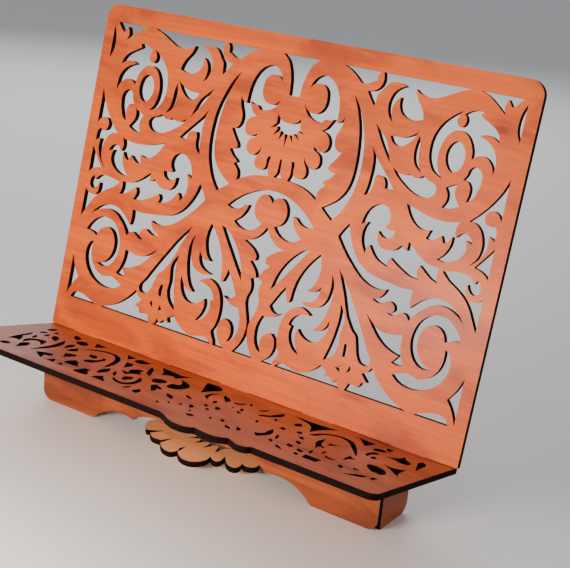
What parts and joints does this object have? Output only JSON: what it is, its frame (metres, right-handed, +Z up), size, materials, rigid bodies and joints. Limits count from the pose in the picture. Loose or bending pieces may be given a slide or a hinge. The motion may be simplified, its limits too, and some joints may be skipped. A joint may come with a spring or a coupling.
{
  "type": "music stand",
  "caption": "Tabletop music and book stand of cut plywood: leaning fretwork backrest, fretwork shelf, low arched base with a flower-fronted board, and a folding rear leg.",
  "frame": {"origin": "centre of the bounding box's underside, on the table", "axes": "+X to the viewer's right, -Y towards the reader, +Z up from the table"},
  "size_m": [0.34, 0.1684, 0.2734],
  "materials": {
    "panel_wood": "satin varnish over red-brown stain",
    "shelf_wood": "satin varnish over red-brown stain",
    "base_wood": "satin varnish over red-brown stain",
    "keel_wood": "satin varnish over light stain",
    "brass": "satin"
  },
  "bodies": {
    "stand": {"backrest": "panel_wood", "shelf_top": "shelf_wood", "batten_rear": "base_wood", "apron_front": "base_wood", "rear_rail": "base_wood", "cheek_left": "base_wood", "cheek_right": "base_wood", "keel_rib_left": "base_wood", "keel_rib_right": "base_wood", "keel_board": "keel_wood", "hinge_left_leaf_back": "brass", "hinge_left_pin": "brass", "hinge_left_screw_back_a": "brass", "hinge_left_screw_back_b": "brass", "hinge_right_leaf_back": "brass", "hinge_right_pin": "brass", "hinge_right_screw_back_a": "brass", "hinge_right_screw_back_b": "brass"},
    "leg": {"rear_leg": "base_wood", "hinge_left_leaf_leg": "brass", "hinge_left_screw_leg_a": "brass", "hinge_left_screw_leg_b": "brass", "hinge_right_leaf_leg": "brass", "hinge_right_screw_leg_a": "brass", "hinge_right_screw_leg_b": "brass"}
  },
  "joints": [
    {"name": "leg_hinge", "type": "hinge", "parent": "stand", "child": "leg", "pos_m": [0, 0.03667, 0.05351], "axis": [1, 0, 0], "range_deg": [-50, 0]}
  ]
}
